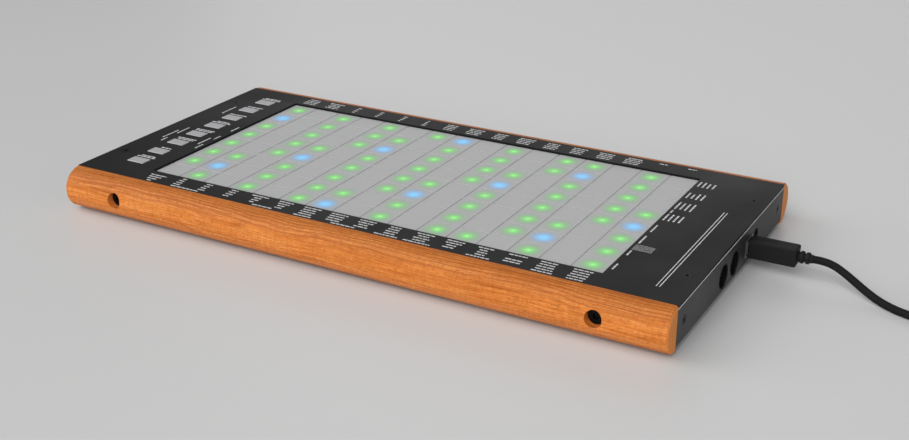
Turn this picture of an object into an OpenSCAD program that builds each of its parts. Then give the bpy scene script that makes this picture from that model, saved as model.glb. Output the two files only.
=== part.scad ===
// Grid controller for music: a lit silicone playing surface and eight control buttons
// in a steel case, between two half-round wooden rails, with its USB lead.
// Millimetres. Origin on the table under the middle of the case, +X to the connector
// end, +Y to the back, +Z up.

/* [Playing surface] */
// Columns of pads, left to right
pad_columns = 16; // [13:1:18]
// Rows of pads, front to back
pad_rows = 8; // [7:1:10]
// Distance from one pad to the next
pad_pitch = 19.05; // [18:0.05:21]
// Width of the grooves that part the pads
groove_w = 0.7; // [0.4:0.1:1.4]
// Depth of those grooves
groove_d = 0.3; // [0.2:0.1:1]
// How far the pads lie below the top of the panel
surface_recess = 1.3; // [0.9:0.1:1.5]
// Thickness of the silicone sheet
surface_t = 3; // [2.6:0.1:3.6]
// Width of the lip that the panel holds down
lip_w = 4; // [2:0.5:5]
// How far the sheet can be squeezed down
surface_press = 0.6; // [0.3:0.1:0.9]

/* [Control buttons] */
// Length of a button, left to right
button_l = 13; // [9:0.5:15]
// Width of a button, front to back
button_w = 8; // [6:0.5:11]
// Corner radius of a button
button_corner = 0.6; // [0.3:0.1:1.5]
// How far a button stands above the panel
button_proud = 0.3; // [0.1:0.1:1.5]
// Travel of a button
button_press = 0.8; // [0.4:0.1:1]
// From the panel's left edge to the middle of the buttons
button_inset = 27.6; // [25:0.1:30]
// How far a button's flange reaches past its sides
button_flange = 1.5; // [0.8:0.1:2.5]
// Thickness of that flange
button_flange_t = 1; // [0.6:0.1:1.2]
// Diameter of the snap dome under a button
dome_d = 6; // [4:0.5:7]
// Height of the snap dome
dome_h = 0.4; // [0.2:0.1:0.6]

/* [Case] */
// Panel left of the playing surface
left_border = 47.6; // [44:0.2:60]
// Panel right of the playing surface
right_border = 47.6; // [44:0.2:60]
// Panel in front of and behind the playing surface
side_border = 15.9; // [14.5:0.1:24]
// Thickness of the top cover
cover_t = 1.9; // [1.5:0.1:2.2]
// Thickness of the end plates
end_t = 1.5; // [1.3:0.1:2]
// Bevel along the top edge of the end plates
end_bevel = 0.4; // [0.2:0.1:0.8]
// Thickness of the tray
tray_t = 1.2; // [0.8:0.1:1.4]
// Width of the tabs that the end screws hold
tab_w = 18; // [14:1:24]
// From the panel's side edge to an end screw
end_screw_inset = 10.2; // [8:0.2:12]
// Height of the end screws above the case's underside
end_screw_h = 10.9; // [9:0.1:13]
// From the panel's end to a cover screw
cover_screw_inset = 8.2; // [7:0.2:9]
// From the middle line to a cover screw
cover_screw_y = 57.4; // [54:0.2:62]
// Diameter of a pillar
pillar_d = 7; // [6:0.5:8]

/* [Wooden rails] */
// Diameter of the half-round rail
rail_d = 26.4; // [25:0.2:32]
// Height of the wood above the table
rail_clear = 0.8; // [0.4:0.1:3]
// How far the wood hangs below the case
rail_drop = 3; // [1:0.2:4]
// From a rail's end to its screw
rail_screw_inset = 40; // [32:1:44]
// Height of a rail's screws above the case's underside
rail_screw_h = 11.3; // [9.5:0.1:13]
// Diameter of the counterbore
counterbore_d = 9.7; // [9.2:0.1:13]
// Wood left under the screw's head
counterbore_web = 5.8; // [3:0.1:8]
// Bevel round a rail's ends
rail_bevel = 0.8; // [0.4:0.1:2]

/* [Feet] */
// Diameter of a foot
foot_d = 14; // [10:0.5:18]
// Diameter of the stem that pushes into the tray
foot_stem_d = 5; // [3:0.5:7]
// From the panel's end to a foot
foot_inset_x = 30; // [26:1:40]
// From the panel's side to a foot
foot_inset_y = 24; // [20:1:30]

/* [Connectors] */
// Round opening of a MIDI socket
din_d = 13.4; // [12.8:0.1:13.6]
// Distance between the two MIDI sockets
din_pitch = 19; // [18:0.1:22]
// First MIDI socket, from the middle line
din_y = -19.6; // [-24:0.2:-17]
// Gap between the MIDI sockets and the tray under them
din_lift = 0.1; // [0.1:0.1:1]
// How far the contact insert is set back in its socket
din_recess = 2.2; // [1.8:0.1:4]
// Length of a MIDI socket
din_l = 14; // [12:0.5:16]
// How far the USB socket's shell stands out of the case
usb_proud = 0.3; // [0:0.1:0.6]
// USB socket, from the middle line
usb_y = 25.4; // [22:0.2:27]
// Axis of the USB socket above the case's underside
usb_h = 8.8; // [8.2:0.1:10]
// Width of the USB socket's metal shell
usb_shell_w = 12; // [11.6:0.1:13]
// Height of the USB socket's metal shell
usb_shell_h = 11; // [10.4:0.1:12]
// Length of the USB socket
usb_shell_l = 16; // [15:0.5:18]
// Power jack, from the middle line
jack_y = 37.6; // [37.4:0.2:42]
// Axis of the power jack above the case's underside
jack_h = 11.3; // [9:0.1:12]
// Opening in the case for the power jack
jack_hole_d = 8; // [7:0.1:9]
// Bore of the power jack
jack_bore_d = 6.3; // [5.5:0.1:6.5]
// Centre pin of the power jack
jack_pin_d = 2; // [1.6:0.1:2.5]

/* [Boards] */
// Thickness of the circuit boards
board_t = 1.6; // [1:0.2:2]
// Thickness of the pressure film
film_t = 0.3; // [0.2:0.1:0.6]
// Edge of a lamp under a pad
led_w = 3.2; // [2:0.2:5]
// Height of a lamp
led_h = 0.8; // [0.5:0.1:1.5]
// Light hole over a lamp
light_hole = 2.6; // [1.6:0.2:4]
// Height of the connector board above the tray
main_lift = 2; // [1:0.2:2.4]
// Length of the connector board, left to right
main_l = 70; // [60:1:80]
// From a screw of the connector board to the board's edge
main_edge = 4; // [3.5:0.5:8]
// Edge of the processor
processor_w = 16; // [10:1:18]
// Length of a small chip
chip_l = 10; // [6:0.5:12]
// Width of a small chip
chip_w = 6; // [4:0.5:8]
// Width of the flat cable between the boards
link_w = 12; // [8:1:13]

/* [USB lead] */
// Diameter of the cable
cable_d = 4.4; // [3.8:0.1:4.8]
// Length of the plug's grip
plug_l = 27.7; // [23:0.1:32]
// Width of the plug's grip
plug_w = 10.4; // [9.4:0.2:12]
// Height of the plug's grip
plug_h = 10.8; // [9.4:0.2:12]
// Gap between the grip and the USB socket
plug_gap = 0.4; // [0.3:0.1:3]
// Length of the plug's strain relief
boot_l = 8.6; // [7:0.2:14]
// Diameter of the strain relief's ribs
boot_d = 7.2; // [6.2:0.2:9]
// Width of the coil at the middle of its turns
coil_across = 52.8; // [50:0.4:56]
// Whole loops of the coil
coil_loops = 7; // [6:1:8]
// Gap between the coil's turns
coil_gap = 0.5; // [0.5:0.1:1]
// Thickness of the coil's tie
tie_t = 0.7; // [0.5:0.1:1]
// Width of the tie
tie_w = 6; // [4:0.5:8]
// Length of the far plug's grip
far_l = 34; // [28:1:40]
// Width of the far plug's grip
far_w = 15.6; // [15:0.2:17]
// Height of the far plug's grip
far_h = 8; // [7.2:0.1:8.2]

/* [Screws] */
// Diameter of the M3 screws
m3_d = 3; // [2.5:0.1:3.5]
// Head of an M3 screw
m3_head_d = 5.5; // [4.5:0.1:6]
// Length of the M3 screws
m3_l = 8; // [6:0.5:10]
// Diameter of the rail screws
m4_d = 4; // [3.5:0.1:5]
// Head of a rail screw
m4_head_d = 8.8; // [6.5:0.1:8.8]

/* [Clearances] */
// Gap round what slides in a window
slide_gap = 0.3; // [0.3:0.05:0.5]
// Gap between pieces that are screwed together
fit_gap = 0.2; // [0.1:0.05:0.3]
// Gap that keeps a moving lip or plunger off its stop
seat_gap = 0.1; // [0.05:0.05:0.2]
// Gap round a screw or a stem
screw_gap = 0.15; // [0.1:0.05:0.3]

/* [Hidden] */
$fn = 48;
button_count = 8;
over = 1;

// Heights, from the table up
case_z = rail_clear + rail_drop;
tray_z = case_z + tray_t;
panel_z = rail_clear + rail_d;
cover_z = panel_z - cover_t;
pad_z = panel_z - surface_recess;
sheet_z = pad_z - surface_t;
film_z = sheet_z - surface_press - seat_gap;
board_z = film_z - film_t;
board_under_z = board_z - board_t;
main_z = tray_z + main_lift;
main_top_z = main_z + board_t;
rail_z = rail_clear + rail_d / 2;
rail_screw_z = case_z + rail_screw_h;
usb_z = case_z + usb_h;
jack_z = case_z + jack_h;
end_screw_z = case_z + end_screw_h;

// Plan sizes
surface_l = pad_columns * pad_pitch;
surface_w = pad_rows * pad_pitch;
panel_l = left_border + surface_l + right_border;
panel_w = surface_w + 2 * side_border;
surface_x = (left_border - right_border) / 2;
end_x = panel_l / 2;
side_y = panel_w / 2;
inner_x = end_x - end_t;
tray_x = inner_x - fit_gap;
button_x = button_inset - end_x;
button_pitch = surface_w / button_count;
end_screw_y = side_y - end_screw_inset;
cover_screw_x = end_x - cover_screw_inset;
rail_screw_x = end_x - rail_screw_inset;
foot_x = end_x - foot_inset_x;
foot_y = side_y - foot_inset_y;

// Sensor board and its posts
board_x0 = button_x - button_l / 2 - 7;
board_x1 = surface_x + surface_l / 2 + lip_w + fit_gap;
post_y = surface_w / 2 + lip_w + fit_gap + m3_head_d / 2 + 0.5;
board_y = post_y + pillar_d / 2;
post_span = surface_l / 2 - 2.4;
post_xs = [button_x, surface_x - post_span, surface_x, surface_x + post_span];
prop_d = 5;

// Sockets
din_wall = 0.5;
din_w = din_d + 2 * din_wall;
din_z = tray_z + din_lift + din_w / 2;
din_ear = 1.1;
din_insert_d = din_d - 2;
din_slot_l = 8;
pin_circle_d = 7;
pin_hole_d = 1.5;
usb_front = end_x + usb_proud;
usb_wall = 0.6;
usb_open_w = 8.5;
usb_open_h = 7.8;
usb_open_l = 12.4;
usb_corner = 1.6;
usb_ear = 1.2;
usb_tongue = [9.4, 5.4, 3.2];
ear_t = 1.2;
jack_w = 9.4;
jack_l = 14;
jack_bore_l = 9.5;
jack_wall = 2;

// Connector board, under the right end of the playing surface
main_x1 = inner_x - fit_gap - 2;
main_x0 = main_x1 - main_l;
main_post_y0 = din_y - din_w / 2 - din_ear - 2 * fit_gap - m3_head_d / 2;
main_post_y1 = jack_y + jack_w / 2 + 2 * fit_gap + m3_head_d / 2;
main_y0 = main_post_y0 - main_edge;
main_y1 = main_post_y1 + main_edge;
chip_t = board_t;
chip_gap = 4;
link_x0 = surface_x + surface_l / 2 - pad_pitch;
link_x1 = link_x0 + 12;
link_t = 0.4;
link_socket_h = 3;
link_socket_l = 5;

// Plug of the lead, in the USB socket
plug_x = usb_front + plug_gap;
boot_x = plug_x + plug_l;
lead_x = boot_x + boot_l;
plug_shell_w = usb_open_w - 2 * 0.25;
plug_shell_h = usb_open_h - 2 * 0.25;
plug_shell_t = 0.5;
plug_shell_l = 11.7;

// Far plug
far_shell = [18.8, 12, 4.5];
far_shell_t = 0.4;
far_boot_l = 8;

// Heights of the cable's middle where it lies on the table, and in the coil's lower layer
lie = cable_d / 2 + 0.1;
coil_low = tie_t + slide_gap + cable_d / 2;

// Route of the free cable, from the strain relief to the coil
lead_route = [
    [lead_x, usb_y, usb_z],
    [lead_x + 5, usb_y, usb_z],
    [248, 24.4, 12],
    [255, 21.6, 10.2],
    [262, 18.1, 7.8],
    [269, 14.5, 5.4],
    [277, 10.5, 3.3],
    [285, 6.8, lie + 0.1],
    [293, 3.7, lie],
    [303, 0.6, lie + 0.3],
    [314, -2.2, coil_low],
    [325, -4.7, coil_low]
];
// Route of the tail, from the coil's exit to the far plug
tail_route = [[0, 0, 0], [0, 5, 0], [0, 11, -0.7], [0, 17, -2.4], [0, 23, -3.8], [0, 29, -4.1], [0, 35, -4.1]];

// Coil: two layers, in and out again, climbing in the half turn where the spiral reverses
coil_pitch = cable_d + coil_gap;
lead_last = lead_route[len(lead_route) - 1];
lead_way = unit(lead_last - lead_route[len(lead_route) - 2]);
coil_start_a = atan2(lead_way[1], lead_way[0]) - 90;
coil_exit_a = 0;
coil_turns = coil_loops + (coil_exit_a - coil_start_a) / 360;
layer_turns = (coil_turns - 0.5) / 2;
coil_r0 = coil_across / 2 + layer_turns * coil_pitch / 2;
coil_r1 = coil_across / 2 - layer_turns * coil_pitch / 2;
coil_rings = 24;
coil_entry = lead_last + cable_d * lead_way;
coil_centre = [
    coil_entry[0] - coil_r0 * cos(coil_start_a),
    coil_entry[1] - coil_r0 * sin(coil_start_a),
    coil_low
];
coil_steps = ceil(coil_rings * coil_turns);
coil_turn_points = [for (i = [0 : coil_steps]) coil_point(coil_turns * i / coil_steps)];
coil_first = coil_turn_points[0] - cable_d * lead_way;
coil_last = coil_turn_points[coil_steps] + [0, cable_d, 0];
coil_line = concat([coil_first], coil_turn_points, [coil_last]);
tail_line = [for (p = tail_route) coil_last + p];
far_end = tail_line[len(tail_line) - 1];
tie_a = -55;

function smooth(t) = let (c = min(max(t, 0), 1)) c * c * (3 - 2 * c);

function unit(v) = v / norm(v);

// Radius of the coil after so many turns
function coil_r(n) =
    n < layer_turns ? coil_r0 - coil_pitch * n
    : n > layer_turns + 0.5 ? coil_r1 + coil_pitch * (n - layer_turns - 0.5)
    : coil_r1 - coil_pitch * min(n - layer_turns, layer_turns + 0.5 - n);

// Point on the coil's centreline after so many turns
function coil_point(n) =
    let (a = coil_start_a + 360 * n)
    let (up = coil_pitch * smooth((n - layer_turns) / 0.5))
    coil_centre + [coil_r(n) * cos(a), coil_r(n) * sin(a), up];

// Least gap between two turns of the coil
function least_gap(line) =
    min([
        for (i = [0 : len(line) - 1], j = [i + coil_rings / 2 : len(line) - 1])
            norm(line[i] - line[j])
    ]) - cable_d;

function line_length(line) =
    let (steps = [for (i = [1 : len(line) - 1]) norm(line[i] - line[i - 1])])
    steps * [for (s = steps) 1];

// Direction of a line at its point i
function heading(line, i) =
    unit(line[min(i + 1, len(line) - 1)] - line[max(i - 1, 0)]);

// Ring of points round a line's point i
function tube_ring(line, i, r, sides) =
    let (t = heading(line, i))
    let (s = unit(cross(t, [0, 0, 1])))
    let (n = cross(s, t))
    [for (k = [0 : sides - 1]) line[i] + r * (cos(360 * k / sides) * s + sin(360 * k / sides) * n)];

// Tube along a line, closed at both ends
module tube(line, r, sides) {
    rings = len(line);
    last = (rings - 1) * sides;
    points = [for (i = [0 : rings - 1]) each tube_ring(line, i, r, sides)];
    walls = [
        for (i = [0 : rings - 2], k = [0 : sides - 1])
            let (a = i * sides + k)
            let (b = i * sides + (k + 1) % sides)
            each [[a, b, a + sides], [b, b + sides, a + sides]]
    ];
    near_cap = [for (k = [1 : sides - 2]) [0, k + 1, k]];
    far_cap = [for (k = [1 : sides - 2]) [last, last + k, last + k + 1]];
    polyhedron(points, concat(walls, near_cap, far_cap));
}

module rounded_rect(l, w, r) {
    square([l - 2 * r, w], center = true);
    square([l, w - 2 * r], center = true);
    for (x = [-1, 1], y = [-1, 1])
        translate([x * (l / 2 - r), y * (w / 2 - r)])
            circle(r);
}

// Block from a lowest to a highest corner
module block(low, high) {
    translate(low)
        cube(high - low);
}

// Disc or pin that points along +X
module x_cylinder(d, l) {
    rotate([0, 90, 0])
        cylinder(d = d, h = l);
}

// Pan-head screw, its head standing on z = 0 and its shank pointing down
module pan_screw(d, head_d, l) {
    head_h = 0.36 * head_d;
    difference() {
        union() {
            cylinder(d = head_d, h = head_h);
            translate([0, 0, -l])
                cylinder(d = d, h = l + head_h / 2);
        }
        translate([0, 0, head_h / 2])
            cylinder(d = 0.5 * head_d, h = head_h, $fn = 6);
    }
}

// Cone of a flat head, its top at z = 0
module flat_head(d, head_d) {
    translate([0, 0, (d - head_d) / 2])
        cylinder(d1 = d, d2 = head_d, h = (head_d - d) / 2);
}

// Flat-head screw, its top at z = 0 and its shank pointing down
module flat_screw(d, head_d, l) {
    difference() {
        union() {
            flat_head(d, head_d);
            translate([0, 0, -l])
                cylinder(d = d, h = l - (head_d - d) / 4);
        }
        translate([0, 0, -0.2 * head_d])
            cylinder(d = 0.4 * head_d, h = head_d, $fn = 6);
    }
}

// Hole for a flat-head screw through a sheet whose face is at z = 0
module flat_hole(d, head_d, t) {
    flat_head(d + 2 * screw_gap, head_d + 2 * screw_gap);
    translate([0, 0, -t - over])
        cylinder(d = d + 2 * screw_gap, h = t + over);
    translate([0, 0, -0.01])
        cylinder(d = head_d + 2 * screw_gap, h = over);
}

module at_buttons() {
    for (j = [0 : button_count - 1])
        translate([button_x, (j - (button_count - 1) / 2) * button_pitch, 0])
            children();
}

module at_pads() {
    for (i = [0 : pad_columns - 1], j = [0 : pad_rows - 1])
        translate([
            surface_x + (i - (pad_columns - 1) / 2) * pad_pitch,
            (j - (pad_rows - 1) / 2) * pad_pitch,
            0
        ])
            children();
}

module at_cover_screws() {
    for (x = [-1, 1], y = [-1, 1])
        translate([x * cover_screw_x, y * cover_screw_y, 0])
            children();
}

// Both ends of the case, with +Z turned to point out of the end
module at_end_screws() {
    for (x = [-1, 1], y = [-1, 1])
        translate([x * end_x, y * end_screw_y, end_screw_z])
            rotate([0, 90 * x, 0])
                children();
}

// Both rails, with +Z turned to point out of the wood
module at_rail_screws() {
    for (x = [-1, 1], y = [-1, 1])
        translate([x * rail_screw_x, y * side_y, rail_screw_z])
            rotate([-90 * y, 0, 0])
                children();
}

module at_feet() {
    for (x = [-1, 1], y = [-1, 1])
        translate([x * foot_x, y * foot_y, case_z])
            children();
}

module at_board_posts() {
    for (x = post_xs, y = [-1, 1])
        translate([x, y * post_y, 0])
            children();
}

module at_main_posts() {
    for (x = [main_x0 + main_edge, main_x1 - 2.5 * main_edge], y = [main_post_y0, main_post_y1])
        translate([x, y, 0])
            children();
}

// Flat top panel with its windows for the playing surface and the buttons
module top_cover() {
    color("#2c2c2e")
        difference() {
            block([-end_x, -side_y, cover_z], [end_x, side_y, panel_z]);
            translate([surface_x, 0, panel_z])
                cube([surface_l, surface_w, 4 * cover_t], center = true);
            at_buttons()
                translate([0, 0, cover_z - over])
                    linear_extrude(cover_t + 2 * over)
                        rounded_rect(
                            button_l + 2 * slide_gap,
                            button_w + 2 * slide_gap,
                            button_corner + slide_gap
                        );
            at_cover_screws()
                translate([0, 0, panel_z])
                    flat_hole(m3_d, m3_head_d, cover_t);
        }
}

// Plate that closes the right end under the cover, its top edge bevelled, with its screw holes
module end_plate() {
    difference() {
        rotate([90, 0, 0])
            linear_extrude(panel_w, center = true)
                polygon([
                    [inner_x, case_z],
                    [end_x, case_z],
                    [end_x, cover_z - end_bevel],
                    [end_x - end_bevel, cover_z],
                    [inner_x, cover_z]
                ]);
        at_end_screws()
            flat_hole(m3_d, m3_head_d, end_t);
    }
}

module left_end_plate() {
    color("#2c2c2e")
        mirror([1, 0, 0])
            end_plate();
}

module right_end_plate() {
    color("#2c2c2e")
        difference() {
            end_plate();
            for (i = [0, 1])
                translate([inner_x - over, din_y + i * din_pitch, din_z])
                    x_cylinder(din_w + 2 * fit_gap, end_t + 2 * over);
            translate([inner_x, usb_y, usb_z])
                cube([4 * end_t, usb_shell_w + 2 * fit_gap, usb_shell_h + 2 * fit_gap], center = true);
            translate([inner_x - over, jack_y, jack_z])
                x_cylinder(jack_hole_d, end_t + 2 * over);
        }
}

// Floor, front and back walls and the four tabs, folded from one sheet
module bottom_tray() {
    color("#36383a")
        difference() {
            union() {
                block([-tray_x, -side_y, case_z], [tray_x, side_y, tray_z]);
                for (y = [0, 1])
                    mirror([0, y, 0])
                        block([-tray_x, side_y - tray_t, case_z], [tray_x, side_y, cover_z - fit_gap]);
                for (x = [0, 1], y = [0, 1])
                    mirror([x, 0, 0])
                        mirror([0, y, 0])
                            block(
                                [tray_x - tray_t, side_y - tab_w, tray_z + 2],
                                [tray_x, side_y - tray_t / 2, cover_z - 2]
                            );
            }
            at_rail_screws()
                translate([0, 0, -tray_t - over])
                    cylinder(d = m4_d + 2 * screw_gap, h = tray_t + 2 * over);
            at_end_screws()
                translate([0, 0, -end_t - fit_gap - tray_t - over])
                    cylinder(d = m3_d + 2 * screw_gap, h = tray_t + 2 * over);
            at_feet()
                translate([0, 0, -over])
                    cylinder(d = foot_stem_d + 2 * screw_gap, h = tray_t + 2 * over);
        }
}

// Half-round rail along the front, with bevelled ends and counterbored holes
module rail() {
    straight = panel_l - 2 * rail_bevel;
    difference() {
        translate([0, -side_y, rail_z])
            intersection() {
                union() {
                    translate([-straight / 2, 0, 0])
                        x_cylinder(rail_d, straight, $fn = 96);
                    for (x = [-1, 1])
                        translate([x * straight / 2, 0, 0])
                            rotate([0, 90 * x, 0])
                                cylinder(d1 = rail_d, d2 = rail_d - 2 * rail_bevel, h = rail_bevel, $fn = 96);
                }
                translate([-panel_l, -rail_d, -rail_d])
                    cube([2 * panel_l, rail_d, 2 * rail_d]);
            }
        for (x = [-1, 1])
            translate([x * rail_screw_x, -side_y, rail_screw_z])
                rotate([90, 0, 0]) {
                    translate([0, 0, -over])
                        cylinder(d = m4_d + 2 * screw_gap, h = rail_d);
                    translate([0, 0, counterbore_web])
                        cylinder(d = counterbore_d, h = rail_d);
                }
    }
}

module front_rail() {
    color("#c87a3c")
        rail();
}

module back_rail() {
    color("#c87a3c")
        mirror([0, 1, 0])
            rail();
}

module rail_screws() {
    color("#26282a")
        at_rail_screws()
            translate([0, 0, counterbore_web])
                pan_screw(m4_d, m4_head_d, counterbore_web + tray_t + m4_d);
}

// Clinch nuts on the inside of the tray's walls
module rail_nuts() {
    color("silver")
        at_rail_screws()
            translate([0, 0, -tray_t - 0.8 * m4_d])
                difference() {
                    cylinder(d = 2 * m4_d, h = 0.8 * m4_d, $fn = 6);
                    translate([0, 0, -over])
                        cylinder(d = m4_d + 2 * screw_gap, h = m4_d + 2 * over);
                }
}

module cover_screws() {
    color("#1c1c1e")
        at_cover_screws()
            translate([0, 0, panel_z])
                flat_screw(m3_d, m3_head_d, m3_l);
}

module post(d, hole_d, z0, z1) {
    difference() {
        translate([0, 0, z0])
            cylinder(d = d, h = z1 - z0);
        translate([0, 0, z0 - over])
            cylinder(d = hole_d, h = z1 - z0 + 2 * over);
    }
}

module cover_pillars() {
    color("silver")
        at_cover_screws()
            post(pillar_d, m3_d + 2 * screw_gap, tray_z, cover_z);
}

module end_screws() {
    color("#1c1c1e")
        at_end_screws()
            flat_screw(m3_d, m3_head_d, m3_l);
}

// Tapered rubber feet with a stem through the tray's floor
module feet() {
    color("#161616")
        at_feet() {
            translate([0, 0, -case_z])
                cylinder(d1 = foot_d - 2, d2 = foot_d, h = case_z);
            cylinder(d = foot_stem_d, h = tray_t + 1.5);
        }
}

// Silicone sheet: a grid of pads parted by grooves, and a lip under the panel
module playing_surface() {
    sheet_l = surface_l - 2 * slide_gap;
    sheet_w = surface_w - 2 * slide_gap;
    color("#b2b2b4")
        difference() {
            union() {
                translate([surface_x - sheet_l / 2, -sheet_w / 2, sheet_z])
                    cube([sheet_l, sheet_w, surface_t]);
                translate([surface_x - surface_l / 2 - lip_w, -surface_w / 2 - lip_w, sheet_z])
                    cube([surface_l + 2 * lip_w, surface_w + 2 * lip_w, cover_z - seat_gap - sheet_z]);
            }
            for (i = [1 : pad_columns - 1])
                translate([surface_x - surface_l / 2 + i * pad_pitch, 0, pad_z])
                    cube([groove_w, surface_w, 2 * groove_d], center = true);
            for (j = [1 : pad_rows - 1])
                translate([surface_x, -surface_w / 2 + j * pad_pitch, pad_z])
                    cube([surface_l, groove_w, 2 * groove_d], center = true);
        }
}

module pressure_film() {
    color("#d8d4c4")
        translate([surface_x, 0, board_z + film_t / 2])
            cube([surface_l, surface_w, film_t], center = true);
}

module sensor_board() {
    color("#1f4a34")
        difference() {
            block([board_x0, -board_y, board_under_z], [board_x1, board_y, board_z]);
            at_pads()
                translate([0, 0, board_z])
                    cube([light_hole, light_hole, 4 * board_t], center = true);
            at_board_posts()
                translate([0, 0, board_under_z - over])
                    cylinder(d = m3_d + 2 * screw_gap, h = board_t + 2 * over);
        }
}

// Lamps under the board, one below each light hole
module pad_lamps() {
    color("#f2f2ea")
        at_pads()
            translate([0, 0, board_under_z - led_h / 2])
                cube([led_w, led_w, led_h], center = true);
}

module board_pillars() {
    color("silver")
        at_board_posts()
            post(pillar_d, m3_d + 2 * screw_gap, tray_z, board_under_z);
}

// Plain posts that keep the board from bending under a hand
module board_props() {
    color("#e4e2da")
        for (i = [-1 : 1], j = [-1 : 1])
            translate([
                surface_x + i * round(pad_columns / 4) * pad_pitch + (pad_columns % 2) * pad_pitch / 2,
                j * round(pad_rows / 4) * pad_pitch + (pad_rows % 2) * pad_pitch / 2,
                tray_z
            ])
                cylinder(d = prop_d, h = board_under_z - tray_z);
}

module board_screws() {
    color("silver")
        at_board_posts()
            translate([0, 0, board_z])
                pan_screw(m3_d, 0.9 * m3_head_d, m3_l);
}

// Base sheet of the rubber keypad, open round each dome
module keypad_web() {
    web_w = button_count * button_pitch;
    color("#9c9c9e")
        difference() {
            translate([button_x, 0, board_z])
                linear_extrude(film_t + 0.5)
                    rounded_rect(button_l + 2 * button_flange, web_w, 2);
            at_buttons()
                translate([0, 0, board_z - over])
                    cylinder(d = dome_d + 2, h = film_t + 3 * over);
        }
}

module button_domes() {
    color("silver")
        at_buttons()
            translate([0, 0, board_z]) {
                cylinder(d = dome_d, h = dome_h / 2);
                cylinder(d1 = dome_d - 1, d2 = dome_d / 2, h = dome_h);
            }
}

// Rubber key: cap through the panel, flange under it, plunger over its dome
module control_button(j) {
    flange_z = cover_z - seat_gap - button_flange_t;
    plunger_z = board_z + dome_h + button_press + seat_gap;
    color("#b0b0b2")
        translate([button_x, (j - (button_count - 1) / 2) * button_pitch, 0]) {
            translate([0, 0, flange_z])
                linear_extrude(panel_z + button_proud - flange_z)
                    rounded_rect(button_l, button_w, button_corner);
            translate([0, 0, flange_z])
                linear_extrude(button_flange_t)
                    rounded_rect(
                        button_l + 2 * button_flange,
                        button_w + 2 * button_flange,
                        button_corner + button_flange
                    );
            translate([0, 0, plunger_z])
                cylinder(d = dome_d - 2, h = flange_z + button_flange_t / 2 - plunger_z);
        }
}

// Room for a socket that sits in the edge of the connector board
module board_notch(y, w, l) {
    block(
        [inner_x - l - fit_gap, y - w / 2 - fit_gap, main_z - over],
        [end_x, y + w / 2 + fit_gap, main_top_z + over]
    );
}

module main_board() {
    color("#1f4a34")
        difference() {
            block([main_x0, main_y0, main_z], [main_x1, main_y1, main_top_z]);
            for (i = [0, 1])
                board_notch(din_y + i * din_pitch, din_w, din_l);
            board_notch(usb_y, usb_shell_w, usb_shell_l);
            at_main_posts()
                translate([0, 0, main_z - over])
                    cylinder(d = m3_d + 2 * screw_gap, h = board_t + 2 * over);
        }
}

// Processor, lamp drivers and the optical coupler of the MIDI input
module main_chips() {
    beside = link_w / 2 + chip_gap;
    color("#202224")
        translate([link_x1, 0, main_top_z]) {
            translate([0, -beside - processor_w, 0])
                cube([processor_w, processor_w, chip_t]);
            translate([0, beside, 0])
                cube([chip_l, chip_w, chip_t]);
            for (i = [0 : 2])
                translate([processor_w + chip_gap, (i - 1) * (chip_l + chip_gap) - chip_l / 2, 0])
                    cube([chip_w, chip_l, chip_t]);
        }
}

module main_standoffs() {
    color("silver")
        at_main_posts()
            post(pillar_d - 1, m3_d + 2 * screw_gap, tray_z, main_z);
}

module main_screws() {
    color("silver")
        at_main_posts()
            translate([0, 0, main_top_z])
                pan_screw(m3_d, m3_head_d, board_t + main_lift);
}

// Flat cable that rises in an S from the connector board to the sensor board
module link_cable() {
    low = main_top_z + link_socket_h;
    rise = board_under_z - link_socket_h - low;
    steps = 12;
    line = [
        for (i = [0 : steps])
            [link_x1 + (link_x0 - link_x1) * smooth(i / steps), low + rise * i / steps]
    ];
    color("#c9c4b2")
        translate([0, link_w / 2, 0])
            rotate([90, 0, 0])
                linear_extrude(link_w)
                    polygon(concat(
                        [for (p = line) p - [link_t / 2, 0]],
                        [for (i = [0 : steps]) line[steps - i] + [link_t / 2, 0]]
                    ));
}

module link_sockets() {
    color("#e9e6dc") {
        translate([link_x1, 0, main_top_z + link_socket_h / 2])
            cube([link_socket_l, link_w + 2, link_socket_h], center = true);
        translate([link_x0, 0, board_under_z - link_socket_h / 2])
            cube([link_socket_l, link_w + 2, link_socket_h], center = true);
    }
}

// Five-pin socket: a round nose in the end plate, a slot for the plug's collar and an insert with its holes
module midi_socket(y) {
    front = inner_x - fit_gap;
    face = din_l + end_t - din_recess;
    color("#17181a")
        translate([front - din_l, y, din_z])
            difference() {
                union() {
                    translate([0, -din_w / 2, -din_w / 2])
                        cube([din_l, din_w, din_w]);
                    translate([din_l / 2, 0, 0])
                        x_cylinder(din_w, din_l / 2 + end_t);
                    translate([0, -din_w / 2 - din_ear, main_top_z - din_z])
                        cube([din_l / 2, din_w + 2 * din_ear, ear_t]);
                }
                translate([face, 0, 0])
                    x_cylinder(din_d, din_l);
                difference() {
                    translate([face - din_slot_l, 0, 0])
                        x_cylinder(din_d, din_slot_l + over);
                    x_cylinder(din_insert_d, 2 * din_l);
                }
                for (k = [0 : 4])
                    translate([
                        face - din_slot_l,
                        pin_circle_d / 2 * cos(45 * k),
                        -pin_circle_d / 2 * sin(45 * k)
                    ])
                        x_cylinder(pin_hole_d, din_l);
            }
}

// Opening of a USB socket, or the outside of its plug: a rectangle with two cut corners
module usb_profile(w, h, corner) {
    polygon([
        [-w / 2, -h / 2],
        [w / 2, -h / 2],
        [w / 2, h / 2 - corner],
        [w / 2 - corner, h / 2],
        [corner - w / 2, h / 2],
        [-w / 2, h / 2 - corner]
    ]);
}

module usb_extrude(x, l, w, h, corner) {
    translate([x, usb_y, usb_z])
        rotate([90, 0, 90])
            linear_extrude(l)
                usb_profile(w, h, corner);
}

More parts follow.
